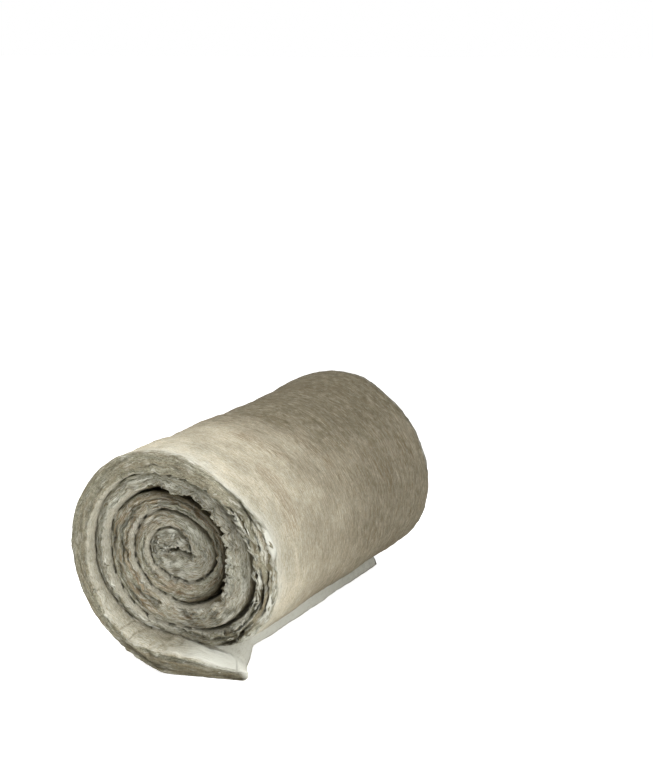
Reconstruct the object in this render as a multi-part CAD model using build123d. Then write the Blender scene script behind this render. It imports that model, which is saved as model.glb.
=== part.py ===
from build123d import *

import math
import os

# Insulation roll: one long mat of mineral wool, wound up and lying on its side.
# Lengths are millimetres and angles are degrees. The roll's axis runs along Y, and the end
# that shows its turns well faces -Y. The mat is wound outwards from the middle: up the +X
# side, over the top, down the -X side and back under the roll, where its last stretch, the
# tail, lies on the floor. The origin is on the floor, under the middle of the roll's box.

# Mat
mat_width = 1200.0
rolled_thickness = 40.0
turn_gap = 3.5

# Winding: an oval spiral, whose long axis leans over
turn_count = 5.72
oval_share = 0.07
oval_lean = 130.0
inner_radius = 7.0
weight_flat = 8.0

# Tail: its reach is measured from the roll's axis to its end face
tail_thickness = 55.0
tail_reach = 80.0
tail_overhang = 13.0
ear_reach = 82.0
ear_run = 290.0
ear_thickness = 30.0

# Ends: how far each turn's edge lies behind the outermost turn's, and how deep the gaps go
turn_setbacks = (40.0, 62.0, 80.0)
near_gap_depth = 115.0
far_gap_depth = 40.0

curve_step = 30

turn_pitch = rolled_thickness + turn_gap
tail_angle = 270
near_end = -mat_width / 2
far_end = mat_width / 2


def outer_face(angle):
    """Distance from the axis to the mat's outer face at a winding angle."""
    wound = turn_count - (tail_angle - angle) / 360
    oval = 1 + oval_share * math.cos(math.radians(2 * (angle - oval_lean)))
    return turn_pitch * wound * oval


def spiral_point(angle, inset):
    """A point in the roll's section, an inset inwards of the mat's outer face."""
    radius = outer_face(angle) - inset
    return radius * math.cos(math.radians(angle)), radius * math.sin(math.radians(angle))


def spiral_curve(start, end, inset):
    """A smooth stretch of the winding, an inset inwards of the mat's outer face."""
    steps = max(4, math.ceil((end - start) / curve_step))
    angles = [start + (end - start) * i / steps for i in range(steps + 1)]
    return Spline(*[spiral_point(angle, inset) for angle in angles])


def one_turn(turn, inset):
    """The area inside one turn: the winding, closed by the short step to the next turn."""
    end = tail_angle - 360 * turn
    winding = spiral_curve(end - 360, end, inset)
    return make_face([winding, Line(winding @ 1, winding @ 0)])


def turn_gaps():
    """The narrow spiral between the turns, from under the roll to its middle."""
    wound_inside = turn_count - (inner_radius / turn_pitch + 1)
    start = tail_angle - 360 * wound_inside
    outside = spiral_curve(start, tail_angle, rolled_thickness)
    inside = spiral_curve(start, tail_angle, turn_pitch)
    return make_face([outside, inside, Line(outside @ 0, inside @ 0), Line(outside @ 1, inside @ 1)])


def along_roll(section, start, end):
    """A section drawn round the axis, drawn out along the roll at the axis height."""
    placed = Pos(0, start, axis_height) * (Plane.XZ * section)
    return extrude(placed, amount=end - start, dir=(0, 1, 0))


def tail():
    """The end of the mat on the floor, its end face leaning out over its foot."""
    outline = Polyline(
        (0, 0),
        (tail_reach, 0),
        (tail_reach + tail_overhang, tail_thickness),
        (0, tail_thickness),
        close=True,
    )
    return extrude(Pos(0, near_end, 0) * (Plane.XZ * make_face(outline)), amount=mat_width, dir=(0, 1, 0))


def ear():
    """The tail's near corner, which flares out flat over the floor."""
    outline = Polyline(
        (0, near_end),
        (tail_reach + ear_reach, near_end),
        (tail_reach, near_end + ear_run),
        (0, near_end + ear_run),
        close=True,
    )
    return extrude(make_face(outline), amount=ear_thickness)


lowest_point = min(spiral_point(angle, 0)[1] for angle in range(tail_angle - 90, tail_angle + 1))
lowest_point = min(lowest_point, min(spiral_point(angle, 0)[1] for angle in range(-90, 0)))
axis_height = -lowest_point - weight_flat

# The wound mat with its tail, flat on the floor where its weight presses it
roll = along_roll(one_turn(0, 0), near_end, far_end) + tail() + ear()
floor_cut = Pos(0, 0, -turn_pitch) * Box(
    4 * turn_pitch * turn_count, 2 * mat_width, 2 * turn_pitch, align=Align.CENTER
)
roll -= floor_cut

# The turns, which show on both ends; the near end is dished
middle_of_gap = rolled_thickness + turn_gap / 2
for turn, setback in enumerate(turn_setbacks):
    roll -= along_roll(one_turn(turn, middle_of_gap), near_end, near_end + setback)
roll -= along_roll(turn_gaps(), near_end, near_end + near_gap_depth)
roll -= along_roll(turn_gaps(), far_end - far_gap_depth, far_end)

box = roll.bounding_box()
wool_mat = Pos(-(box.min.X + box.max.X) / 2, 0, 0) * roll

os.makedirs("parts", exist_ok=True)
export_step(wool_mat, "parts/wool_mat.step")
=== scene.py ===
import math
import random

import bmesh
import bpy
from bpy.props import FloatProperty, FloatVectorProperty, IntProperty, PointerProperty
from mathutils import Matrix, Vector, noise


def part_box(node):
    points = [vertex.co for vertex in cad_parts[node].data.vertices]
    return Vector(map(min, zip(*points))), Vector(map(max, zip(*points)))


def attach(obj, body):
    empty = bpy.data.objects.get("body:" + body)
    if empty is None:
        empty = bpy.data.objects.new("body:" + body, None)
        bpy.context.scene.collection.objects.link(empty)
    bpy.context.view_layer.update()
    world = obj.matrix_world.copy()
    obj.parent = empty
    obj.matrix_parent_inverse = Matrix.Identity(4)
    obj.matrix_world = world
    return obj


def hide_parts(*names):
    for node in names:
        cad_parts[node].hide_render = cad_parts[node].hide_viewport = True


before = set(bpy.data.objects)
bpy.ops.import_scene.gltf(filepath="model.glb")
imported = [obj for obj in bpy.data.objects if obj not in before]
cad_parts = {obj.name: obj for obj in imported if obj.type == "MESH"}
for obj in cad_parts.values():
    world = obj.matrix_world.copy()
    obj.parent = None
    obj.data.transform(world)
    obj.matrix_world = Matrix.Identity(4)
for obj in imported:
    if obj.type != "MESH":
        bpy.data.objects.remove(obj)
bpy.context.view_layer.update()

bl_info = {
    "name": "Insulation roll",
    "version": (1, 0, 0),
    "blender": (4, 5, 0),
    "location": "3D View > Sidebar > Insulation roll",
    "description": "A mat of stone wool, wound into a soft oval roll that lies on its tail",
    "category": "Add Mesh",
}

# The frame: metres, the roll's axis along Y, its dished end at low Y, the floor at Z = 0
MM = 0.001
NODE = "wool_mat"
LOW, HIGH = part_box(NODE)
NEAR_END = LOW[1]
FAR_END = HIGH[1]

# Winding angles, in degrees, grow outwards: 0 is +X, 90 is up, and the mat leaves the roll
# at 270, under it, to lie on the floor as the tail. Its other end is the core's start
UNDER = 270
TAIL_END = 286
CORE_START = -1420
# Middle of the roll's section, for the outer turn and for the innermost one, in metres
OUTER_MIDDLE = (23 * MM, 235 * MM)
INNER_MIDDLE = (-22 * MM, 245 * MM)
# From that middle to the mat's outer face, in mm: one row a turn, from under the roll
# inwards, every 30 degrees. The turns lie loose, so no two are alike
RADII_STEP = 30
RADII = (
    (235, 221, 220, 237, 258, 262, 241, 211, 202, 209, 219, 213),
    (184, 180, 182, 190, 203, 207, 184, 171, 168, 170, 174, 166),
    (156, 155, 151, 152, 166, 158, 132, 115, 108, 101, 106, 111),
    (104, 94, 89, 90, 101, 105, 90, 80, 80, 83, 79, 68),
    (56, 51, 51, 54, 58, 59, 55, 47, 43, 43),
)
FACE_RADII = [radius for turn in RADII for radius in turn]
# The tight slit that the mat's first length is folded over: its middle and its half length
SLIT_MIDDLE = (-13 * MM, 249 * MM)
SLIT_REACH = 34 * MM

# The photograph: its height and its lens's focal length, in pixels. The camera's place, in
# metres, and how far it tips down and turns left, in degrees, are fitted to the roll in it
PHOTO_HEIGHT = 765
PHOTO_FOCAL = 2519
CAMERA_PLACE = (1.993, -5.434, 1.373)
CAMERA_TIP = 8.122
CAMERA_TURN = 18.684
SENSOR_MM = 36

# The floor's half side, in metres, so that its edge shows from nowhere, and what the lamps
# point at, in the roll's open end
FLOOR_REACH = 90.0
LIT_PLACE = (0, -0.4, 0.2)


def linear(hex_colour):
    """An sRGB hex colour as linear red, green and blue."""
    parts = [int(hex_colour[i:i + 2], 16) / 255 for i in (1, 3, 5)]
    return tuple(c / 12.92 if c <= 0.04045 else ((c + 0.055) / 1.055) ** 2.4 for c in parts)


class MatSizes(bpy.types.PropertyGroup):
    """The mat and how it is wound."""

    gap: FloatProperty(
        name="Gap", description="Open width between two turns",
        default=1.0 * MM, min=0.0, unit="LENGTH",
    )
    gap_depth: FloatProperty(
        name="Gap depth", description="How far one can see in between two turns",
        default=55 * MM, min=0.0, unit="LENGTH",
    )
    step: FloatProperty(
        name="Mesh step", description="Spacing of the mesh along the mat",
        default=4.1 * MM, min=0.001, unit="LENGTH",
    )
    ear_reach: FloatProperty(
        name="Ear reach", description="How far the tail's near corner is pulled out",
        default=82 * MM, unit="LENGTH",
    )
    ear_run: FloatProperty(
        name="Ear run", description="Length along the roll over which the pulled corner fades",
        default=290 * MM, unit="LENGTH",
    )
    far_rise: FloatProperty(
        name="Far rise", description="How much higher the roll stands at its far end",
        default=17 * MM, unit="LENGTH",
    )
    flakes: IntProperty(
        name="Flakes", description="Torn flakes of wool on the cut edges", default=4500, min=1,
    )


class WoolColours(bpy.types.PropertyGroup):
    """The colours of stone wool, which its binder and its fibres give, and a grime colour that
    also paints shade.
    """

    face: FloatVectorProperty(
        name="Face", description="The mat's smooth outer and inner faces",
        default=linear("#D6CDB5"), size=3, min=0.0, max=1.0, subtype="COLOR",
    )
    edge: FloatVectorProperty(
        name="Cut edge", description="The mat's cut edge, where the layers show",
        default=linear("#9D9B86"), size=3, min=0.0, max=1.0, subtype="COLOR",
    )
    shade: FloatVectorProperty(
        name="Shade", description="Duller places between the clumps",
        default=linear("#6F6C5A"), size=3, min=0.0, max=1.0, subtype="COLOR",
    )
    pale: FloatVectorProperty(
        name="White fluff", description="Combed and fluffed fibres",
        default=linear("#DCDCD0"), size=3, min=0.0, max=1.0, subtype="COLOR",
    )
    brown: FloatVectorProperty(
        name="Brown binder", description="Places with more binder",
        default=linear("#87765B"), size=3, min=0.0, max=1.0, subtype="COLOR",
    )
    # Real dust on handled places, and also painted shade deep in the gaps, under the second
    # turn's overhang, on the roll's top and towards its far end
    grime_and_painted_shade: FloatVectorProperty(
        name="Grime and painted shade", description="Handled and dusty places, and the depth of the gaps",
        default=linear("#5E5744"), size=3, min=0.0, max=1.0, subtype="COLOR",
    )


class StageLook(bpy.types.PropertyGroup):
    """The camera, the floor and the lamps."""

    key: FloatProperty(
        name="Key", description="Lamp above the roll's open end", default=70.0, unit="POWER",
    )
    side: FloatProperty(
        name="Side", description="Low lamp at the front right", default=72.0, unit="POWER",
    )
    fill: FloatProperty(
        name="Fill", description="Soft lamp at the front left", default=21.0, unit="POWER",
    )
    sky: FloatProperty(name="Sky", description="Light from all round", default=0.42, min=0.0)
    glow: FloatProperty(
        name="Glow", description="How much whiter the floor looks than it is lit",
        default=0.8, min=0.0,
    )
    floor: FloatVectorProperty(
        name="Floor", description="Plain pale floor", default=linear("#F4F3F0"), size=3,
        min=0.0, max=1.0, subtype="COLOR",
    )


# Measures that follow the winding: pairs of a winding angle and a value, smooth in between

# How far the cut edge lies behind the near end's plane, in mm
EDGE_SETBACK = (
    (286, 0), (30, 0), (0, 6), (-30, 30), (-65, 70), (-100, 98), (-135, 58), (-180, 34),
    (-225, 24), (-300, 22), (-345, 24), (-400, 50), (-450, 88), (-495, 72), (-540, 52),
    (-585, 56), (-640, 74), (-690, 84), (-760, 98), (-820, 96), (-860, 78), (-900, 62),
    (-960, 66), (-1020, 78), (-1080, 92), (-1170, 100), (-1260, 82), (-1320, 82), (-1420, 92),
)
# How much of the thickness the edge's inner corner gives away to a long bevel, in mm
INNER_BEVEL = (
    (286, 12), (255, 13), (239, 16), (215, 12), (195, 3), (175, 2), (140, 2), (-90, 4),
    (-135, 6), (-200, 4), (-300, 3), (-450, 6), (-560, 6), (-900, 4), (-1420, 4),
)
# How far back the edge's outer corner is worn, on the side where it frays, in mm
OUTER_WEAR = (
    (286, 0), (90, 3), (62, 12), (40, 26), (15, 56), (-20, 66), (-50, 32), (-90, 8), (-1420, 5),
)
# Open width of the mouth between two turns, over the plain gap, in mm
GAP_MOUTH = (
    (286, 1), (180, 0.5), (135, 1), (95, 3), (60, 5), (20, 13), (-20, 17), (-55, 9), (-90, 1),
    (-200, 0.5), (-222, 1), (-240, 10), (-265, 21), (-300, 23), (-345, 23), (-390, 19),
    (-425, 8), (-465, 0.5), (-580, 0.5), (-620, 2), (-700, 4), (-780, 1), (-900, 0.5),
    (-980, 1.5), (-1060, 1.5), (-1130, 0.5), (-1420, 1),
)
# How far the edge's inner corner is torn in and out, in mm
RAGGED = (
    (286, 4), (190, 4), (130, 8), (40, 11), (-60, 12), (-235, 8), (-258, 18), (-330, 22),
    (-395, 18), (-430, 9), (-1000, 9), (-1420, 8),
)
# How deep the edge splits between the mat's layers, in mm
SPLITS = (
    (286, 9), (235, 8), (200, 4), (70, 5), (52, 18), (30, 34), (0, 42), (-45, 34), (-90, 14),
    (-150, 7), (-270, 4), (-330, 8), (-440, 14), (-560, 22), (-640, 14), (-800, 9), (-960, 8),
    (-1420, 6),
)
# Tints, as shares: white fluff along the outer rim, and brown binder on the edges
WHITE_RIM = (
    (286, 0.2), (160, 0.0), (118, 0.2), (95, 0.75), (40, 1.0), (0, 0.9), (-40, 0.6), (-74, 0.4),
)
BROWN_EDGE = (
    (286, 0.4), (40, 0.35), (0, 0.5), (-60, 0.4), (-130, 0.35), (-230, 0.35), (-330, 0.5),
    (-440, 0.7), (-520, 0.9), (-640, 1.0), (-740, 0.9), (-860, 0.9), (-980, 0.8),
    (-1100, 0.45), (-1420, 0.5),
)


def along(pairs, angle):
    """The value at a winding angle of a measure that follows the winding."""
    if angle >= pairs[0][0]:
        return pairs[0][1]
    for (high, first), (low, second) in zip(pairs, pairs[1:]):
        if angle >= low:
            share = (high - angle) / (high - low)
            share = share * share * (3 - 2 * share)
            return first + (second - first) * share
    return pairs[-1][1]


def smooth(low, high, value):
    """0 at low, 1 at high, smooth in between; low may be the larger."""
    share = min(1.0, max(0.0, (value - low) / (high - low)))
    return share * share * (3 - 2 * share)


def grain(x, y, z=0.0):
    """Smooth noise from -1 to 1."""
    return noise.noise(Vector((x, y, z)))


class Winding:
    """The wound mat's section: where its outer and inner faces run."""

    def __init__(self, sizes):
        self.sizes = sizes

    def face_point(self, angle):
        """The mat's outer face at a winding angle, as if there were no floor."""
        steps = (UNDER - angle) / RADII_STEP
        first = min(len(FACE_RADII) - 2, max(0, math.floor(steps)))
        part = steps - first
        before, start, end, after = (
            FACE_RADII[min(len(FACE_RADII) - 1, max(0, first + k))] for k in (-1, 0, 1, 2)
        )
        # A cubic through the two radii, with the slopes of their neighbours
        bend = 2 * before - 5 * start + 4 * end - after
        twist = 3 * start - before - 3 * end + after
        radius = start + 0.5 * part * (end - before + part * (bend + part * twist))
        # The tight inner turns don't bend evenly, they kink
        kinked = smooth(-560, -900, angle)
        radius += kinked * (4.5 * abs(grain(angle * 0.024, 31.0)) - 1.2)
        turn = math.radians(angle)
        # The tail runs level along the floor
        if angle > UNDER:
            radius = OUTER_MIDDLE[1] / MM / abs(math.sin(turn))
        inside = min(1.0, max(0.0, steps / (len(FACE_RADII) - 1)))
        x = OUTER_MIDDLE[0] + (INNER_MIDDLE[0] - OUTER_MIDDLE[0]) * inside
        z = OUTER_MIDDLE[1] + (INNER_MIDDLE[1] - OUTER_MIDDLE[1]) * inside
        return x + radius * MM * math.cos(turn), z + radius * MM * math.sin(turn)

    def outer(self, angle):
        """The outer face, flat on the floor where the roll's weight presses it."""
        x, z = self.face_point(angle)
        if angle > 180:
            # Rounded off where it meets the floor, and then level with it
            z = 0.5 * (z + math.sqrt(z * z + (5 * MM) ** 2)) - 1.2 * MM
            z *= smooth(-20 * MM, 20 * MM, z)
        return x, max(z, 0.0)

    def slit(self, angle):
        """The tight slit in the middle, where the mat's first length is folded over."""
        turn = math.radians(angle)
        x = SLIT_REACH * math.cos(turn)
        z = 1.6 * MM * math.sin(turn) + 4 * MM * math.sin(x * 140 + 1.2) * math.sin(turn) ** 2
        return SLIT_MIDDLE[0] + x, SLIT_MIDDLE[1] + z - 0.2 * x

    def inner(self, angle, mouth):
        """The inner face: a gap outside the next turn's outer face, or the slit."""
        turn = math.radians(angle)
        next_turn = angle - 360
        gap = self.sizes.gap + mouth
        x, z = self.face_point(max(next_turn, CORE_START))
        x += gap * math.cos(turn)
        z += gap * math.sin(turn)
        covered = smooth(0, 26, next_turn - CORE_START)
        if covered < 1:
            slit_x, slit_z = self.slit(angle)
            x = slit_x + (x - slit_x) * covered
            z = slit_z + (z - slit_z) * covered
        return x, z

    def angles(self):
        """Winding angles from the tail's end to the mat's start, one mesh step apart."""
        angle = TAIL_END
        steps = [float(angle)]
        while angle > CORE_START + 1:
            x, z = self.face_point(angle)
            ahead_x, ahead_z = self.face_point(angle - 1)
            angle -= self.sizes.step / max(math.hypot(x - ahead_x, z - ahead_z), 0.6 * MM)
            steps.append(max(angle, CORE_START))
        return steps


class MatMesh:
    """Collects the mat's vertices, with where each lies on the unrolled mat, and its faces."""

    def __init__(self):
        self.places = []
        self.laid = []
        self.cut = []
        self.marks = []
        self.faces = []

    def point(self, x, y, z, length, across, cut, mark):
        """Adds a vertex, its place on the unrolled mat, its share of cut edge, and its mark.

        The mark is the surface that it lies on, its winding angle, and its distance back from
        the edge or, on the edge, its share of the way in.
        """
        self.places.append((x, y, z))
        self.laid.append((length, across))
        self.cut.append(cut)
        self.marks.append(mark)
        return len(self.places) - 1

    def face(self, corners):
        """Adds a face, without the corners that repeat one."""
        corners = tuple(dict.fromkeys(corners))
        if len(corners) > 2:
            self.faces.append(corners)

    def sheet(self, rows):
        """Quads between lines of vertices of equal count."""
        for first, second in zip(rows, rows[1:]):
            for i in range(len(first) - 1):
                self.face((first[i], first[i + 1], second[i + 1], second[i]))

    def zip_lines(self, first, first_at, second, second_at):
        """Triangles between two lines of vertices, which go on together by their measures."""
        i = j = 0
        while i < len(first) - 1 or j < len(second) - 1:
            ahead = j == len(second) - 1 or (
                i < len(first) - 1 and first_at[i + 1] <= second_at[j + 1]
            )
            if ahead:
                self.face((first[i], first[i + 1], second[j]))
                i += 1
            else:
                self.face((first[i], second[j + 1], second[j]))
                j += 1

    def fan(self, loop):
        """Closes a loop of vertices with triangles round its middle."""
        middle = [sum(self.places[v][k] for v in loop) / len(loop) for k in range(3)]
        centre = self.point(*middle, *self.laid[loop[0]], 1.0, self.marks[loop[0]])
        for a, b in zip(loop, loop[1:] + loop[:1]):
            self.face((a, b, centre))


# Counts of vertices: in the near gaps, over the cut edge, the same at the far end, and along
# the outer face
GAP_ROWS = 7
EDGE_ROWS = 18
FAR_GAP_ROWS = 2
FAR_EDGE_ROWS = 6
FACE_ROWS = 104
# The rows in a gap lie closer together towards its mouth, by this power
GAP_SPACING = 1.4
# How far in the far end's gaps are closed, and how round the edge's corners are
FAR_GAP_DEPTH = 26 * MM
CORNER = 4 * MM
# Shares of cut edge at its own corners, on the inner face, on the tail's end and on the flakes
CORNER_CUT = 0.4
INNER_CUT = 0.3
TAIL_CUT = 0.3
FLAKE_CUT = 0.8
# How far back from the edge its wear dies out: the wide mouth of a gap, the long bevel, the
# tears in the inner corner, and the fraying of the outer one
MOUTH_RUN = 22 * MM
BEVEL_RUN = 34 * MM
TEAR_RUN = 16 * MM
FRAY_RUN = 14 * MM
# Length along the roll over which the tail's near corner is also pulled out at its top
TAIL_TOP_RUN = 147 * MM
# The tail's end face is laid out this far from the rest of the unrolled mat, in metres
TAIL_FACE_LAID = 2
TAIL_FACE_HEIGHT = 0.045


def corner_drop(distance):
    """How far a rounded corner falls back, at a distance from the mat's face."""
    if distance >= CORNER:
        return 0.0
    short = (CORNER - distance) / CORNER
    return CORNER * (1 - math.sqrt(max(0.0, 1 - short * short)))


def sway(sizes, y):
    """The soft roll's slow changes along its length: sideways, upwards and in girth."""
    run = y - NEAR_END
    fade = smooth(0.05, 0.35, run)
    side = 5 * MM * fade * grain(run * 3.1, 4.2)
    rise = 2 * MM * fade * grain(run * 4.3, 9.7) + sizes.far_rise * smooth(0.6, 1.3, run)
    girth = 1 + 0.014 * fade * grain(run * 5.3, 1.3)
    return side, rise, girth


def openness(angle):
    """The share of the gap's depth that is open; where the turns touch, little of it is."""
    parted = smooth(-0.05, 0.35, grain(angle * 0.14, 21.0))
    wide = max(smooth(1.0, 3.0, along(GAP_MOUTH, angle)), smooth(-1020, -1060, angle))
    return 0.12 + 0.88 * max(parted, wide)


def tear(angle, length):
    """How much of the thickness is torn away from the edge's inner corner, in metres."""
    tooth = grain(length * 48, 3.0) + 0.8 * grain(length * 110, 8.0)
    return along(RAGGED, angle) * MM * max(0.0, tooth + 0.15)


def place(winding, angle, length, depth_share, y, back):
    """A point in the mat: at a winding angle, a share of the way in, and back from the edge."""
    sizes = winding.sizes
    mouth = along(GAP_MOUTH, angle) * MM * (1 + 0.6 * grain(length * 13, 6.5))
    mouth *= math.exp(-back / (MOUTH_RUN + 5 * mouth))
    outer_x, outer_z = winding.outer(angle)
    inner_x, inner_z = winding.inner(angle, mouth)
    bevel = along(INNER_BEVEL, angle) * MM * math.exp(-back / BEVEL_RUN)
    # Only the near end is torn
    if y < 0:
        bevel += tear(angle, length) * math.exp(-back / TEAR_RUN)
    thickness = math.hypot(inner_x - outer_x, inner_z - outer_z)
    share = depth_share * (1 - min(0.6, bevel / thickness))
    # Between the turns the outer corner is frayed a little too
    worn = MM * (4.0 * grain(length * 42, 40.0) + 3.0 * grain(length * 95, 43.0))
    worn *= math.exp(-back / FRAY_RUN) * smooth(-70, -110, angle)
    share += (1 - depth_share) * worn / thickness
    x = outer_x + (inner_x - outer_x) * share
    z = outer_z + (inner_z - outer_z) * share
    # The tail's near corner: its foot is pulled out along a slant, its top only at the edge,
    # and it thins as it is pulled
    run = y - NEAR_END
    foot = max(0.0, 1 - run / sizes.ear_run)
    top = 1 - smooth(0.15, 1.0, run / TAIL_TOP_RUN)
    near_tip = smooth(UNDER - 10, TAIL_END, angle)
    x += sizes.ear_reach * near_tip * (foot + (min(foot, top) - foot) * depth_share)
    z *= 1 - 0.34 * smooth(UNDER - 4, TAIL_END, angle) * top
    side, rise, girth = sway(sizes, y)
    lifted = smooth(0.0, 0.12, z)
    x = OUTER_MIDDLE[0] + (x - OUTER_MIDDLE[0]) * girth + side * lifted
    z = z * (1 + (girth - 1) * lifted) + rise * smooth(0.0, 0.4, z)
    return x, z


def edge_profile(winding, angle, length, rows, worn):
    """The cut edge across the thickness: pairs of a share of the way in and a setback."""
    outer_x, outer_z = winding.outer(angle)
    inner_x, inner_z = winding.inner(angle, 0)
    thickness = max(math.hypot(inner_x - outer_x, inner_z - outer_z), 12 * MM)
    wear = along(OUTER_WEAR, angle) * MM * (1 + 0.6 * grain(length * 24, 5.5))
    split = along(SPLITS, angle) * MM
    profile = []
    for i in range(rows):
        share = 0.5 - 0.5 * math.cos(math.pi * i / (rows - 1))
        share = 0.35 * share + 0.65 * i / (rows - 1)
        setback = corner_drop(min(share, 1 - share) * thickness)
        if worn:
            setback += wear * (1 - share) ** 1.6
            # The splits wander, open and close between the layers
            depth = share * thickness
            layer = grain(length * 11, depth * 105, 2.0)
            open_here = smooth(-0.3, 0.35, grain(length * 14, depth * 60, 11.0))
            inside = smooth(0, 0.12, min(share, 1 - share))
            setback += split * open_here * max(0.0, 1 - 3.6 * abs(layer)) * inside
        profile.append((share, setback))
    return profile, thickness


class MatEnd:
    """One end of the mat, with its lines of vertices: one of each kind for a winding angle."""

    def __init__(self, plane, way, edge_rows, gap_rows, gap_depth):
        self.plane = plane
        self.way = way
        self.edge_rows = edge_rows
        self.gap_rows = gap_rows
        self.gap_depth = gap_depth
        # Only the near end is dished and worn; the far one is plain and flat
        self.dished = way > 0
        self.inner = []
        self.edge = []
        self.covered = []
        self.corners = []

    def setback(self, angle):
        """How far the cut edge lies behind the end's plane."""
        return along(EDGE_SETBACK, angle) * MM if self.dished else 0.0

    def gap_bottom(self, angle, next_angle):
        """How far behind the end's plane the gap between two turns is closed."""
        share = openness(angle) if self.dished else 1
        return max(self.setback(next_angle), self.setback(angle)) + self.gap_depth * share

    def add_lines(self, mesh, winding, angle, length, is_covered):
        """Adds the lines at one angle: up the inner face, over the edge, down the outer face.

        The outer face is left to build_mat where no turn covers it.
        """
        setback = self.setback(angle)
        profile, thickness = edge_profile(winding, angle, length, self.edge_rows, self.dished)
        inner_corner = setback + profile[-1][1]
        outer_corner = setback + profile[0][1]

        def vertex(share, back, past_edge, across, cut, mark):
            y = self.plane + self.way * back
            x, z = place(winding, angle, length, share, y, past_edge)
            return mesh.point(x, y, z, length, across, cut, mark)

        bottom = self.gap_bottom(angle, angle - 360)
        cut = INNER_CUT if self.dished else 0.0
        line = []
        for row in range(self.gap_rows):
            share = 1 - (row / self.gap_rows)
            back = inner_corner + (bottom - inner_corner) * share ** GAP_SPACING
            mark = ("inner", angle, back - setback)
            line.append(vertex(1.0, back, back - setback, -back, cut, mark))
        self.inner.append(line)

        line = []
        for share, drop in reversed(profile):
            cut = 1.0 if 0 < share < 1 else CORNER_CUT
            mark = ("edge", angle, share)
            line.append(vertex(share, setback + drop, drop, (1 - share) * thickness, cut, mark))
        self.edge.append(line)

        bottom = self.gap_bottom(angle + 360, angle)
        line = []
        if is_covered:
            for row in range(1, self.gap_rows + 1):
                share = row / self.gap_rows
                back = outer_corner + (bottom - outer_corner) * share ** GAP_SPACING
                mark = ("covered", angle, back - setback)
                line.append(vertex(0.0, back, back - setback, thickness + back, 0.0, mark))
        self.covered.append(line)
        self.corners.append((setback, outer_corner, thickness))


def build_mat(winding):
    """The whole mat as one closed mesh."""
    sizes = winding.sizes
    mesh = MatMesh()
    angles = winding.angles()
    lengths = [0.0]
    for a, b in zip(angles, angles[1:]):
        ax, az = winding.face_point(a)
        bx, bz = winding.face_point(b)
        lengths.append(lengths[-1] + math.hypot(ax - bx, az - bz))
    # The line where the tail's end meets the roll; past it, another turn covers the mat
    crease = next(i for i, angle in enumerate(angles) if angle <= TAIL_END - 360)

    near = MatEnd(NEAR_END, 1, EDGE_ROWS, GAP_ROWS, sizes.gap_depth)
    far = MatEnd(FAR_END, -1, FAR_EDGE_ROWS, FAR_GAP_ROWS, FAR_GAP_DEPTH)
    for end in (near, far):
        for i, angle in enumerate(angles):
            end.add_lines(mesh, winding, angle, lengths[i], i > crease)
        mesh.sheet([inner + edge for inner, edge in zip(end.inner, end.edge)])
        outer = [[edge[-1]] + covered for edge, covered in zip(end.edge, end.covered)]
        mesh.sheet(outer[crease + 1:])

    # The outermost turn's outer face, finer near the open end
    face_lines = []
    for i in range(crease + 1):
        setback, start, thickness = near.corners[i]
        near_corner = NEAR_END + start
        far_corner = mesh.places[far.edge[i][-1]][1]
        line = [near.edge[i][-1]]
        for row in range(1, FACE_ROWS):
            share = row / FACE_ROWS
            share = 0.42 * share + 0.58 * share * share
            y = near_corner + (far_corner - near_corner) * share
            x, z = place(winding, angles[i], lengths[i], 0.0, y, y - NEAR_END - setback)
            mark = ("outer", angles[i], y - near_corner)
            line.append(mesh.point(x, y, z, lengths[i], thickness + y - NEAR_END, 0.0, mark))
        line.append(far.edge[i][-1])
        face_lines.append(line)
    mesh.sheet(face_lines)

    against = close_gaps(mesh, angles, crease, near, far, face_lines[crease])
    close_tail(mesh, near, far, face_lines[0], against)
    return mesh, near.edge


def close_gaps(mesh, angles, crease, near, far, crease_line):
    """Joins the turns at the bottom of the gaps, and closes the mat's start in the middle.

    Returns the stretch of the crease line that lies between the two ends' gaps.
    """
    start_lap = next(i for i, angle in enumerate(angles) if angle <= CORE_START + 360)
    crease_y = [mesh.places[v][1] for v in crease_line]
    bottoms = []
    for end in (near, far):
        deep_y = mesh.places[end.covered[crease + 1][-1]][1]
        bottom = min(range(len(crease_y)), key=lambda k: abs(crease_y[k] - deep_y))
        bottoms.append(bottom)
        inner = [line[0] for line in end.inner[:start_lap + 1]]
        outer = [crease_line[bottom]] + [line[-1] for line in end.covered[crease + 1:]]
        inner_at = [-angle for angle in angles[:start_lap + 1]]
        outer_at = [-angle - 360 for angle in angles[crease:]]
        mesh.zip_lines(inner, inner_at, outer, outer_at)
        stretch = crease_line[:bottom + 1] if end.way > 0 else crease_line[:bottom - 1:-1]
        gap_wall = [end.edge[crease + 1][-1]] + end.covered[crease + 1]
        mesh.zip_lines(
            stretch, [end.way * mesh.places[v][1] for v in stretch],
            gap_wall, [end.way * mesh.places[v][1] for v in gap_wall],
        )
        mesh.fan([line[0] for line in end.inner[start_lap:]] + [end.covered[-1][-1]])
        mesh.fan(end.inner[-1] + end.edge[-1] + end.covered[-1])
    return crease_line[bottoms[0]:bottoms[1] + 1]


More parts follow.
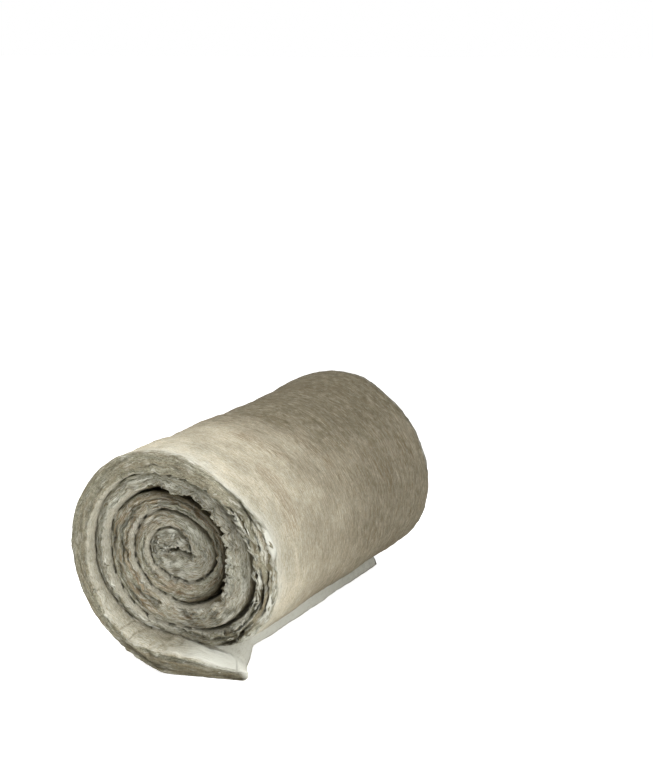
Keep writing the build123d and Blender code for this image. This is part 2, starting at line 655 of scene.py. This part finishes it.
def close_tail(mesh, near, far, foot, against):
    """The tail's end, rounded, from its foot on the floor to its lip against the roll."""
    near_edge = near.edge[0][::-1]
    far_edge = far.edge[0][::-1]
    lip = [near_edge[-1]] + near.inner[0][::-1] + against + far.inner[0] + [far_edge[-1]]
    lip_y = [mesh.places[v][1] for v in lip]
    foot_y = [mesh.places[v][1] for v in foot]
    lines = [foot]
    count = len(near_edge) - 1
    for step in range(1, count):
        share = step / count
        across = TAIL_FACE_LAID + share * TAIL_FACE_HEIGHT
        line = [near_edge[step]]
        for v, y in zip(foot[1:-1], foot_y[1:-1]):
            foot_x, _, foot_z = mesh.places[v]
            lip_x, _, lip_z = nearest_place(mesh, lip, lip_y, y)
            bulge = (8 + 9 * math.exp(-(y - NEAR_END) / 0.12)) * MM * math.sin(math.pi * share)
            x = foot_x + (lip_x - foot_x) * share + bulge
            z = foot_z + (lip_z - foot_z) * share
            mark = ("tail end", TAIL_END, y - NEAR_END)
            line.append(mesh.point(x, y, z, y, across, TAIL_CUT, mark))
        line.append(far_edge[round(share * (len(far_edge) - 1))])
        lines.append(line)
    mesh.sheet(lines)
    mesh.zip_lines(lines[-1], foot_y, lip, lip_y)


def nearest_place(mesh, line, line_y, y):
    """The place along a line of vertices at a given y."""
    for k in range(len(line) - 1):
        if line_y[k] <= y <= line_y[k + 1]:
            run = max(line_y[k + 1] - line_y[k], 1e-9)
            share = (y - line_y[k]) / run
            a, b = mesh.places[line[k]], mesh.places[line[k + 1]]
            return tuple(a[i] + (b[i] - a[i]) * share for i in range(3))
    return mesh.places[line[-1]]


def crease_depth(length, across):
    """0 in the creases that run across the mat's bent face, and more on the folds between."""
    return 3.2 * abs(grain(length * 25, across * 8, 0.5))


def relief(length, across, cut, bare, wild, folds, place_at):
    """How far the wool stands out of its plain surface, in metres."""
    x, y, z = place_at
    dents = bare * (3.2 * grain(x * 8, y * 7, z * 8) + 1.5 * grain(x * 27 + 5, y * 22, z * 27))
    tufts = 1.3 * grain(length * 55, across * 75) + 1.0 * grain(length * 120, across * 150 + 3)
    # Torn wool is rounded clumps with sharp creases in between
    clumps = (
        3.0 * abs(grain(length * 34 + 7, across * 60))
        + 2.6 * abs(grain(length * 75, across * 120 + 5)) - 1.5
    )
    layers = 1.3 * grain(length * 24, across * 230)
    # The mat's inner face is pressed together as it bends, and folds across
    tufts += folds * (crease_depth(length, across) - 0.6)
    return MM * ((1 - cut) * (dents + tufts) + cut * (wild * clumps + layers + 0.5 * dents))


def frays(angle):
    """1 where the outer turn's edge is frayed, on the right, 0 elsewhere."""
    return smooth(62, 25, angle) * smooth(-92, -45, angle)


def wildness(angle):
    """How torn the cut edge is: most where it frays, and in the middle of the roll."""
    lap = 0.6 * smooth(215, 240, angle)
    core = 0.8 * smooth(-1000, -1150, angle)
    return 1 + 1.1 * frays(angle) + lap + core


def edge_tints(angle, share, length, across, clump, patch):
    """Tints of the cut edge, where the layers, the clumps and the dust show, with painted light
    on the inner turns' edges and painted shade on the outer turn's edge and under the second
    turn's overhang.
    """
    inside = smooth(-60, -110, angle)
    inner_corner = smooth(0.93 - 0.1 * smooth(190, 215, angle), 1.0, share)
    # Painted light: the inner turns' edges are whiter, so that the dished end looks evenly lit
    white = 0.08 + 0.3 * inside + 0.6 * inner_corner * smooth(-0.2, 0.5, grain(length * 20, 4.0))
    white += 0.35 * smooth(0.1, 0.6, grain(length * 26, across * 60, 5.0))
    if angle > -60:
        white += 0.45 * smooth(0.25, 0.0, share) * along(WHITE_RIM, angle)
    frayed = frays(angle)
    white += 1.0 * frayed * smooth(0.0, 0.3, grain(length * 13, across * 130, 7.0))
    binder = along(BROWN_EDGE, angle)
    white *= 1 - 0.45 * smooth(0.6, 0.95, binder)
    brown = 1.4 * binder * smooth(-0.5, 0.3, grain(length * 9, across * 70, 1.0))
    # Clumps show most round the slit in the middle
    core = smooth(-1090, -1200, angle)
    white += 0.4 * core * smooth(0.1, 0.4, clump)
    # Painted shade on the outer part of the edge under the second turn's overhang
    dust_and_painted_shade = 1.1 * smooth(0.5, 0.0, share) * smooth(-590, -620, angle) * smooth(-815, -780, angle)
    dust_and_painted_shade += core * (0.1 + 0.5 * smooth(-0.05, -0.4, clump))
    dust_and_painted_shade += 0.9 * frayed * smooth(0.08, 0.35, grain(length * 11, across * 110, 17.0))
    # Painted shade: the outer turn's edge is darker than the inner turns' edges. From 225 to 250
    # degrees its outer part is darker still
    dust_and_painted_shade += 0.2 * (1 - inside) + 0.45 * smooth(225, 250, angle) * smooth(0.9, 0.5, share)
    white += 0.5 * smooth(262, 284, angle) * smooth(0.6, 0.9, share)
    return white, brown, 0.10 * smooth(0.0, 0.5, patch) + dust_and_painted_shade


def inner_tints(angle, back, length, across, patch):
    """Tints of the inner face: pale at the edge and the tail's lip, with painted shade deeper in
    the gaps, in the wide gap between the second and third turns and in the folds' creases.
    """
    # Painted shade: the face darkens and loses its white the deeper it lies in the gap
    deep = 1 - math.exp(-max(back, 0.0) / (60 * MM))
    # Painted shade in the wide gap between the second and third turns
    hollow = smooth(-232, -250, angle) * smooth(-425, -400, angle)
    lip = smooth(258, 282, angle)
    white = (0.55 - 0.4 * deep) * (1 - 0.7 * hollow) * (1 - lip) + 1.2 * lip
    grime_and_painted_shade = (0.45 * deep + hollow * (1 - 0.4 * deep)) * (1 - lip)
    # Painted shade in the creases between the folds
    creased = smooth(0.3, 0.0, crease_depth(length, across)) * smooth(150, 200, angle)
    grime_and_painted_shade += 0.45 * creased * smooth(-0.2, 0.3, patch)
    return white - 0.2 * creased, 0.08 + 0.3 * along(BROWN_EDGE, angle), grime_and_painted_shade


def covered_tints(angle, back):
    """Tints of the outer face where the next turn covers it, with painted shade deeper in the gap
    and in the wide gap under the second turn.
    """
    deep = 1 - math.exp(-max(back, 0.0) / (40 * MM))
    hollow = smooth(-592, -610, angle) * smooth(-785, -760, angle)
    brown = 0.2 + 0.3 * along(BROWN_EDGE, angle)
    return 0.45 - 0.3 * deep, brown, 0.1 + 0.4 * deep + 0.7 * hollow


def outer_tints(angle, back, length, across, run, patch):
    """Tints of the bare outer face: a white rim, browner towards the far end and darker there,
    partly as painted shadow, with painted shade on the top and at the rim's corner.
    """
    width = MM * (40 + 34 * patch + 30 * grain(length * 17, across * 6, 3.0))
    rim = 0.72 * along(WHITE_RIM, angle) * math.exp(-max(back, 0.0) / max(width, 8 * MM))
    # Towards the far end the wool is browner in its own tone, and darker, partly in its own tone
    # and partly as painted shadow
    aged_and_shadowed = smooth(0.0, 0.8, run + 0.18 * patch)
    # Painted shade on the roll's top, from the middle towards the far end
    top = smooth(30, 100, angle) * smooth(150, 100, angle) * smooth(0.3, 0.8, run)
    brown = 0.3 + 0.65 * aged_and_shadowed + 0.5 * smooth(0.1, 0.5, grain(length * 7, across * 9, 23.0))
    # The last term is painted shade that dims the lit rounded corner along the near rim
    grime_and_painted_shade = 0.03 + 0.55 * aged_and_shadowed + 0.5 * top + 0.2 * math.exp(-max(back, 0.0) / (12 * MM))
    return rim + 0.14, brown * (1 - 0.8 * min(1.0, rim)), min(grime_and_painted_shade, 0.74)


def tints(mesh, index):
    """Shares of white fluff, brown binder, and dust with painted shade at a vertex."""
    surface, angle, at = mesh.marks[index]
    length, across = mesh.laid[index]
    x, y, z = mesh.places[index]
    run = y - NEAR_END
    patch = grain(x * 13, y * 9, z * 13)
    if surface == "edge":
        clump = grain(x * 62, z * 62, 50.0)
        return edge_tints(angle, at, length, across, clump, patch)
    if surface == "inner":
        return inner_tints(angle, at, length, across, patch)
    if surface == "covered":
        return covered_tints(angle, at)
    if surface == "tail end":
        # The tail's end is white, and browner and darker towards the far end
        return 1.2, 0.02 + 0.3 * smooth(0.5, 1.1, run), 0.3 * smooth(0.5, 1.1, run)
    return outer_tints(angle, at, length, across, run, patch)


def share_layers(data):
    """The mesh's two layers for the material: tint, and share of cut edge."""
    data.color_attributes.new("tint", "FLOAT_COLOR", "POINT")
    data.attributes.new("cut", "FLOAT", "POINT")
    return data.attributes["tint"], data.attributes["cut"]


def smooth_and_lay(data, laid):
    """Shades the mesh smoothly, and maps each vertex to its place on the unrolled mat."""
    for polygon in data.polygons:
        polygon.use_smooth = True
    layer = data.uv_layers.new(name="laid")
    for loop in data.loops:
        layer.data[loop.index].uv = laid[loop.vertex_index]


def shape_wool(obj, mesh):
    """Moves each vertex along its normal by the wool's relief, and keeps it above the floor."""
    vertices = obj.data.vertices
    normals = [Vector(v.normal) for v in vertices]
    tint, cut = share_layers(obj.data)
    for v, normal in zip(vertices, normals):
        length, across = mesh.laid[v.index]
        surface, angle, at = mesh.marks[v.index]
        share = mesh.cut[v.index]
        bare = 1.0
        folds = 0.0
        if surface == "covered":
            bare = 0.0
        if surface == "inner":
            # Free only as far back as the next turn's edge
            free = (along(EDGE_SETBACK, angle - 360) - along(EDGE_SETBACK, angle)) * MM
            free_share = smooth(free, free - 25 * MM, at)
            bare = 1.3 * free_share
            folds = 5.0 * smooth(150, 200, angle) * free_share
        if surface == "tail end":
            folds = 2.2
        v.co += normal * relief(length, across, share, bare, wildness(angle), folds, v.co)
        v.co.z = max(v.co.z, 0.0)
        tint.data[v.index].color = (*tints(mesh, v.index), 1.0)
        cut.data[v.index].value = share
    obj.data.update()


# Stone wool: spun rock fibres set with a little resin, matt, with no gloss of their own

def add_node(tree, kind, settings=None, links=None):
    """Adds a node with its settings and the links into its sockets."""
    node = tree.nodes.new(kind)
    for name, value in (settings or {}).items():
        if isinstance(name, int) or name in node.inputs:
            node.inputs[name].default_value = value
        else:
            setattr(node, name, value)
    for name, source in (links or {}).items():
        tree.links.new(source, node.inputs[name])
    return node


def wool_material(name, colours, layer_mm, fibre_mm):
    """Matt wool: its mottles are a few centimetres wide, its fibres run along the mat.

    The fibres are 5 thousandths of a millimetre thick, far too fine to show. What the eye sees
    is how they bunch, so the finest noise is fibre_mm wide.
    """
    material = bpy.data.materials.new(name)
    material.use_nodes = True
    tree = material.node_tree
    tree.nodes.clear()
    laid = add_node(tree, "ShaderNodeUVMap", {"uv_map": "laid"}).outputs["UV"]
    room = add_node(tree, "ShaderNodeTexCoord").outputs["Object"]
    tint = add_node(tree, "ShaderNodeAttribute", {"attribute_name": "tint"})
    cut = add_node(tree, "ShaderNodeAttribute", {"attribute_name": "cut"}).outputs["Fac"]
    tinted = add_node(tree, "ShaderNodeSeparateColor", None, {"Color": tint.outputs["Color"]})
    # The tint's blue share is grime together with painted shade
    white, brown, grime_and_painted_shade = (tinted.outputs[channel] for channel in ("Red", "Green", "Blue"))
    cut_pits = add_node(
        tree, "ShaderNodeMapRange", {"To Min": 0.45, "To Max": 1.0}, {"Value": cut}
    ).outputs["Result"]

    # Noises: where each lies, its size in mm in each direction, its detail and its roughness
    patterns = (
        ("wide", room, (90, 120, 90), 4, 0.62),
        ("clumps", room, (18, 18, 18), 5, 0.7),
        ("specks", room, (4, 4, 4), 5, 0.78),
        ("creases", laid, (110, 30, 10), 2, 0.5),
        ("layers", laid, (34, layer_mm, 10), 4, 0.6),
        ("fibres", laid, (9 * fibre_mm, fibre_mm, 10), 3, 0.6),
    )
    field = {}
    for number, (label, source, sizes_mm, detail, rough) in enumerate(patterns):
        scale = tuple(1000 / size for size in sizes_mm)
        # Each noise is moved by its own step, so that no two are alike
        mapping = add_node(
            tree, "ShaderNodeMapping",
            {"Scale": scale, "Location": (2.3 * number, 1.6 * number, 0)}, {"Vector": source},
        )
        field[label] = add_node(
            tree, "ShaderNodeTexNoise",
            {"Scale": 1.0, "Detail": detail, "Roughness": rough, "Distortion": 0.5},
            {"Vector": mapping.outputs["Vector"]},
        ).outputs["Fac"]
    # A noise folded over its middle: thin lines, like the creases of a handled mat, darkened as
    # painted shade
    field["creases"] = add_node(
        tree, "ShaderNodeMath", {"operation": "PINGPONG", 1: 0.5}, {0: field["creases"]}
    ).outputs[0]

    # The cut edge's colour starts at its corners in torn, clumpy outlines
    edges = add_node(
        tree, "ShaderNodeMapRange",
        {"From Min": 0.3, "From Max": 0.7, "To Min": -0.5, "To Max": 0.17},
        {"Value": field["clumps"]},
    )
    torn = add_node(
        tree, "ShaderNodeMath", {"operation": "MULTIPLY_ADD", 1: 1.67},
        {0: cut, 2: edges.outputs["Result"]},
    )
    colour = add_node(
        tree, "ShaderNodeMix",
        {"data_type": "RGBA", 6: (*colours.face, 1.0), 7: (*colours.edge, 1.0)},
        {0: torn.outputs[0]},
    ).outputs[2]
    # Each coat: its noise, the stretch of it that counts, what that becomes, what that is taken
    # together with and how, and the coat's colour
    coats = (
        ("wide", (0.42, 0.68), (0.0, 0.5), None, "MULTIPLY", colours.shade),
        ("specks", (0.46, 0.58), (0.0, 1.0), cut_pits, "MULTIPLY", colours.shade),
        # Painted shade along the thin crease lines
        ("creases", (0.482, 0.5), (0.0, 0.45), None, "MULTIPLY", colours.shade),
        ("layers", (0.35, 0.62), (0.0, 1.0), brown, "MULTIPLY", colours.brown),
        ("fibres", (0.34, 0.66), (-0.55, 0.35), white, "ADD", colours.pale),
        # Grime and painted shade, from the tint's blue share, broken up by the clumps
        ("clumps", (0.25, 0.75), (0.55, 1.45), grime_and_painted_shade, "MULTIPLY", colours.grime_and_painted_shade),
    )
    for label, (low, high), (least, most), other, way, tone in coats:
        share = add_node(
            tree, "ShaderNodeMapRange",
            {"From Min": low, "From Max": high, "To Min": least, "To Max": most},
            {"Value": field[label]},
        ).outputs["Result"]
        if other:
            share = add_node(
                tree, "ShaderNodeMath", {"operation": way}, {0: share, 1: other}
            ).outputs[0]
        colour = add_node(
            tree, "ShaderNodeMix", {"data_type": "RGBA", 7: (*tone, 1.0)}, {0: share, 6: colour}
        ).outputs[2]

    # The fluff's own relief: clumps first, then the layers and fibres on them
    bump = add_node(
        tree, "ShaderNodeBump", {"Strength": 1.0, "Distance": 4.5 * MM},
        {"Height": field["clumps"]},
    )
    for label, distance in (("specks", 4.0), ("layers", 2.5), ("fibres", 1.5)):
        bump = add_node(
            tree, "ShaderNodeBump", {"Strength": 0.8, "Distance": distance * MM},
            {"Height": field[label], "Normal": bump.outputs["Normal"]},
        )
    shader = add_node(
        tree, "ShaderNodeBsdfPrincipled",
        {"Roughness": 0.95, "IOR": 1.45, "Specular IOR Level": 0.15},
        {"Base Color": colour, "Normal": bump.outputs["Normal"]},
    )
    add_node(tree, "ShaderNodeOutputMaterial", None, {"Surface": shader.outputs["BSDF"]})
    return material


# A flake is a curled spindle: rings of vertices along it, and a tip at both ends
FLAKE_RINGS = 3
FLAKE_SIDES = 3
FLAKE_SEED = 11


def flake_places(start, run_way, side, out, long, wide, curl):
    """A flake's vertices: its rings, then its tail tip and its head tip."""
    places = []
    for ring in range(1, FLAKE_RINGS + 1):
        t = ring / (FLAKE_RINGS + 1)
        middle = start + run_way * long * t + out * long * curl * t * t
        half = wide * math.sin(math.pi * t)
        for k in range(FLAKE_SIDES):
            around = 2 * math.pi * k / FLAKE_SIDES + 0.4
            flat = out * 0.5 * half * math.sin(around)
            places.append(middle + side * half * math.cos(around) + flat)
    places.append(start)
    places.append(start + run_way * long + out * long * curl)
    for place_at in places:
        place_at.z = max(place_at.z, 0.0)
    return places


def flake_faces(first):
    """A flake's faces, from its first vertex on."""
    tail_tip = first + FLAKE_RINGS * FLAKE_SIDES
    faces = []
    for k in range(FLAKE_SIDES):
        a, b = first + k, first + (k + 1) % FLAKE_SIDES
        faces.append((tail_tip, a, b))
        for _ in range(FLAKE_RINGS - 1):
            faces.append((a, a + FLAKE_SIDES, b + FLAKE_SIDES, b))
            a += FLAKE_SIDES
            b += FLAKE_SIDES
        faces.append((a, tail_tip + 1, b))
    return faces


def flake_row(rng, frayed):
    """The row of the cut edge that a flake stands on: many hang from its corners."""
    pick = rng.random()
    if pick < 0.45:
        return rng.choice((0, 1, 2))
    if pick < 0.45 + 0.2 * frayed:
        return EDGE_ROWS - 2 - rng.choice((0, 1, 2))
    return rng.randrange(2, EDGE_ROWS - 3)


def flake_mesh(mat, mesh, edges, count):
    """Small torn flakes of wool that stand on the cut edges: pointed at both ends, closed."""
    rng = random.Random(FLAKE_SEED)
    places = []
    faces = []
    tint = []
    laid = []
    vertices = mat.data.vertices
    for _ in range(count):
        column = rng.randrange(2, len(edges) - 2)
        angle = mesh.marks[edges[column][0]][1]
        frayed = frays(angle)
        torn = smooth(-235, -260, angle) * smooth(-450, -400, angle)
        core = smooth(-1120, -1240, angle)
        if rng.random() > 0.15 + 0.3 * frayed + 0.6 * torn + 0.6 * core:
            continue
        row = flake_row(rng, frayed)
        vertex = vertices[edges[column][row]]
        before, after = (vertices[edges[column + k][row]].co for k in (-1, 1))
        tangent = (after - before).normalized()
        # Out of the wool, and a little more out of the end
        out = (vertex.normal + Vector((0, -0.7, 0))).normalized()
        side = tangent.cross(out).normalized()
        turn = rng.gauss(0, 0.45 - 0.37 * frayed)
        run_way = (tangent * math.cos(turn) + side * math.sin(turn)).normalized()
        run_way = (run_way * rng.choice((-1, 1)) + out * rng.uniform(0.0, 0.3)).normalized()
        side = run_way.cross(out).normalized()
        long = rng.uniform(6, 13) * MM * (1 + 1.2 * frayed)
        wide = rng.uniform(1.0, 2.6) * MM * (1 + 0.7 * frayed + 0.7 * core)
        curl = rng.uniform(-0.1, 0.25)
        # Its tail tip is sunk into the wool
        start = vertex.co - out * 1.2 * MM - run_way * long * 0.3
        flake = flake_places(start, run_way, side, out, long, wide, curl)
        faces += flake_faces(len(places))
        places += flake
        white = rng.uniform(0.05, 0.55) + 0.3 * frayed * rng.random() + 0.5 * core * rng.random()
        shade = (white, rng.random() * along(BROWN_EDGE, angle), rng.uniform(0.0, 0.15))
        tint += [shade] * len(flake)
        laid += [mesh.laid[edges[column][row]]] * len(flake)
    data = bpy.data.meshes.new("torn_flakes")
    data.from_pydata(places, [], faces)
    smooth_and_lay(data, laid)
    shares, cut = share_layers(data)
    for i, shade in enumerate(tint):
        shares.data[i].color = (*shade, 1.0)
        cut.data[i].value = FLAKE_CUT
    return bpy.data.objects.new("torn_flakes", data)


class ROLL_OT_mat(bpy.types.Operator):
    """Builds the wound mat"""

    bl_idname = "insulation_roll.mat"
    bl_label = "Wound mat"

    def execute(self, context):
        scene = context.scene
        sizes = scene.roll_sizes
        built, edges = build_mat(Winding(sizes))
        data = bpy.data.meshes.new("stone_wool_mat")
        data.from_pydata(built.places, [], built.faces)
        wool = wool_material("stone wool", scene.roll_colours, layer_mm=4.5, fibre_mm=1.8)
        data.materials.append(wool)
        smooth_and_lay(data, built.laid)
        mat = bpy.data.objects.new("stone_wool_mat", data)
        scene.collection.objects.link(mat)
        face_outwards(mat)
        shape_wool(mat, built)
        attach(mat, "root")
        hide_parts(NODE)

        flakes = flake_mesh(mat, built, edges, sizes.flakes)
        flakes.data.materials.append(wool)
        scene.collection.objects.link(flakes)
        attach(flakes, "root")
        return {"FINISHED"}


def face_outwards(obj):
    """Turns all faces of a closed mesh outwards."""
    shape = bmesh.new()
    shape.from_mesh(obj.data)
    bmesh.ops.recalc_face_normals(shape, faces=shape.faces)
    shape.to_mesh(obj.data)
    shape.free()
    obj.data.update()


def seen_share(tree):
    """1 on the rays that show a surface to the eye, 0 on those by which it gives light."""
    rays = add_node(tree, "ShaderNodeLightPath")
    seen = rays.outputs["Is Camera Ray"]
    for kind in ("Is Glossy Ray", "Is Transmission Ray"):
        seen = add_node(
            tree, "ShaderNodeMath", {"operation": "MAXIMUM"}, {0: seen, 1: rays.outputs[kind]}
        ).outputs[0]
    return seen


class ROLL_OT_stage(bpy.types.Operator):
    """Makes the floor, the lamps and the camera"""

    bl_idname = "insulation_roll.stage"
    bl_label = "Stage"

    def execute(self, context):
        scene = context.scene
        look = scene.roll_stage
        scene.view_settings.view_transform = "Standard"
        self.make_floor(scene, look)
        self.make_sky(scene, look)
        self.make_lamps(scene, look)
        self.make_camera(scene)
        return {"FINISHED"}

    def make_floor(self, scene, look):
        """A matt painted floor, which glows a little to the eye so that it looks white."""
        data = bpy.data.meshes.new("floor")
        corners = [
            (x * FLOOR_REACH, y * FLOOR_REACH, 0) for x, y in ((-1, -1), (1, -1), (1, 1), (-1, 1))
        ]
        data.from_pydata(corners, [], [(0, 1, 2, 3)])
        floor = bpy.data.objects.new("floor", data)
        scene.collection.objects.link(floor)
        material = bpy.data.materials.new("painted studio floor")
        material.use_nodes = True
        tree = material.node_tree
        tree.nodes.clear()
        glow = add_node(
            tree, "ShaderNodeMapRange", {"To Max": look.glow}, {"Value": seen_share(tree)}
        )
        shader = add_node(
            tree, "ShaderNodeBsdfPrincipled",
            {
                "Base Color": (*look.floor, 1.0), "Roughness": 0.9, "Specular IOR Level": 0.1,
                "Emission Color": (1, 1, 1, 1),
            },
            {"Emission Strength": glow.outputs["Result"]},
        )
        add_node(tree, "ShaderNodeOutputMaterial", None, {"Surface": shader.outputs["BSDF"]})
        data.materials.append(material)

    def make_sky(self, scene, look):
        """White all round to the eye, and softer as a light."""
        world = bpy.data.worlds.new("studio")
        world.use_nodes = True
        scene.world = world
        tree = world.node_tree
        tree.nodes.clear()
        strength = add_node(
            tree, "ShaderNodeMapRange", {"To Min": look.sky, "To Max": 1.0},
            {"Value": seen_share(tree)},
        )
        sky = add_node(
            tree, "ShaderNodeBackground", {"Color": (1, 1, 1, 1)},
            {"Strength": strength.outputs["Result"]},
        )
        add_node(tree, "ShaderNodeOutputWorld", None, {"Surface": sky.outputs["Background"]})

    def make_lamps(self, scene, look):
        """Square lamps: each one's name, power, side and place, in metres."""
        lamps = (
            ("key", look.key, 1.2, (-0.1, -1.0, 2.7)),
            ("side", look.side, 1.4, (2.4, -2.0, 0.6)),
            ("fill", look.fill, 2.5, (-2.0, -3.0, 1.5)),
        )
        for name, power, size, place_at in lamps:
            data = bpy.data.lights.new(name, "AREA")
            data.energy = power
            data.size = size
            lamp = bpy.data.objects.new(name, data)
            lamp.location = place_at
            aim = Vector(LIT_PLACE) - Vector(place_at)
            lamp.rotation_euler = aim.to_track_quat("-Z", "Y").to_euler()
            scene.collection.objects.link(lamp)

    def make_camera(self, scene):
        """The photograph's camera, whose longer side is its height."""
        data = bpy.data.cameras.new("camera")
        data.sensor_width = SENSOR_MM
        data.lens = PHOTO_FOCAL * SENSOR_MM / PHOTO_HEIGHT
        camera = bpy.data.objects.new("camera", data)
        camera.location = CAMERA_PLACE
        camera.rotation_euler = (math.radians(90 - CAMERA_TIP), 0, math.radians(CAMERA_TURN))
        scene.collection.objects.link(camera)
        scene.camera = camera


class ROLL_PT_panel(bpy.types.Panel):
    """Lists the roll's pieces"""

    bl_label = "Insulation roll"
    bl_idname = "ROLL_PT_panel"
    bl_space_type = "VIEW_3D"
    bl_region_type = "UI"
    bl_category = "Insulation roll"

    def draw(self, context):
        scene = context.scene
        for group in (scene.roll_sizes, scene.roll_colours, scene.roll_stage):
            for name in group.__annotations__:
                self.layout.prop(group, name)
        for operator in OPERATORS:
            self.layout.operator(operator.bl_idname)


OPERATORS = (ROLL_OT_mat, ROLL_OT_stage)
CLASSES = (MatSizes, WoolColours, StageLook, *OPERATORS, ROLL_PT_panel)


def register():
    for each in CLASSES:
        bpy.utils.register_class(each)
    bpy.types.Scene.roll_sizes = PointerProperty(type=MatSizes)
    bpy.types.Scene.roll_colours = PointerProperty(type=WoolColours)
    bpy.types.Scene.roll_stage = PointerProperty(type=StageLook)


def unregister():
    for name in ("roll_sizes", "roll_colours", "roll_stage"):
        delattr(bpy.types.Scene, name)
    for each in reversed(CLASSES):
        bpy.utils.unregister_class(each)


def main():
    register()
    bpy.ops.insulation_roll.mat()
    bpy.ops.insulation_roll.stage()


if __name__ == "__main__":
    main()
